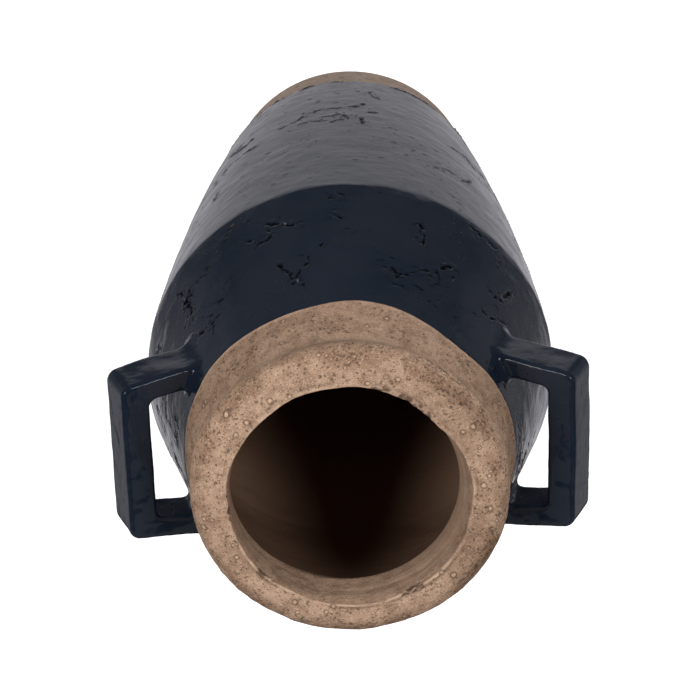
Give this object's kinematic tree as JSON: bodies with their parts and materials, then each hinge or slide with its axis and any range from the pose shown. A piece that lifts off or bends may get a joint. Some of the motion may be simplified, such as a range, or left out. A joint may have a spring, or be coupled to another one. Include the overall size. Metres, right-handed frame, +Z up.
{
  "type": "amphora vase",
  "caption": "Tall two-handled ceramic vase, flared body, sharp ridge, conical shoulder, dark glossy glaze, raw clay neck and rim.",
  "frame": {"origin": "centre of the flat base, on the surface that the vase stands on", "axes": "+Z up along the pot's axis towards the mouth, +X out through the left handle"},
  "size_m": [0.2556, 0.228, 0.451],
  "materials": {
    "raw_clay": "matt unglazed buff terracotta, pitted",
    "foot_clay": "matt unglazed clay, smoother and darker",
    "navy_glaze": "glossy blue-black glaze with pinholes and fine cracks"
  },
  "bodies": {
    "root": {"base_disc": "foot_clay", "body_wall": "foot_clay", "body_glaze": "navy_glaze", "shoulder_wall": "raw_clay", "shoulder_glaze": "navy_glaze", "neck_collar": "raw_clay", "rim": "raw_clay", "left_handle": "raw_clay", "right_handle": "raw_clay", "left_handle_glaze": "navy_glaze", "right_handle_glaze": "navy_glaze", "left_luting": "navy_glaze", "right_luting": "navy_glaze"}
  },
  "joints": []
}
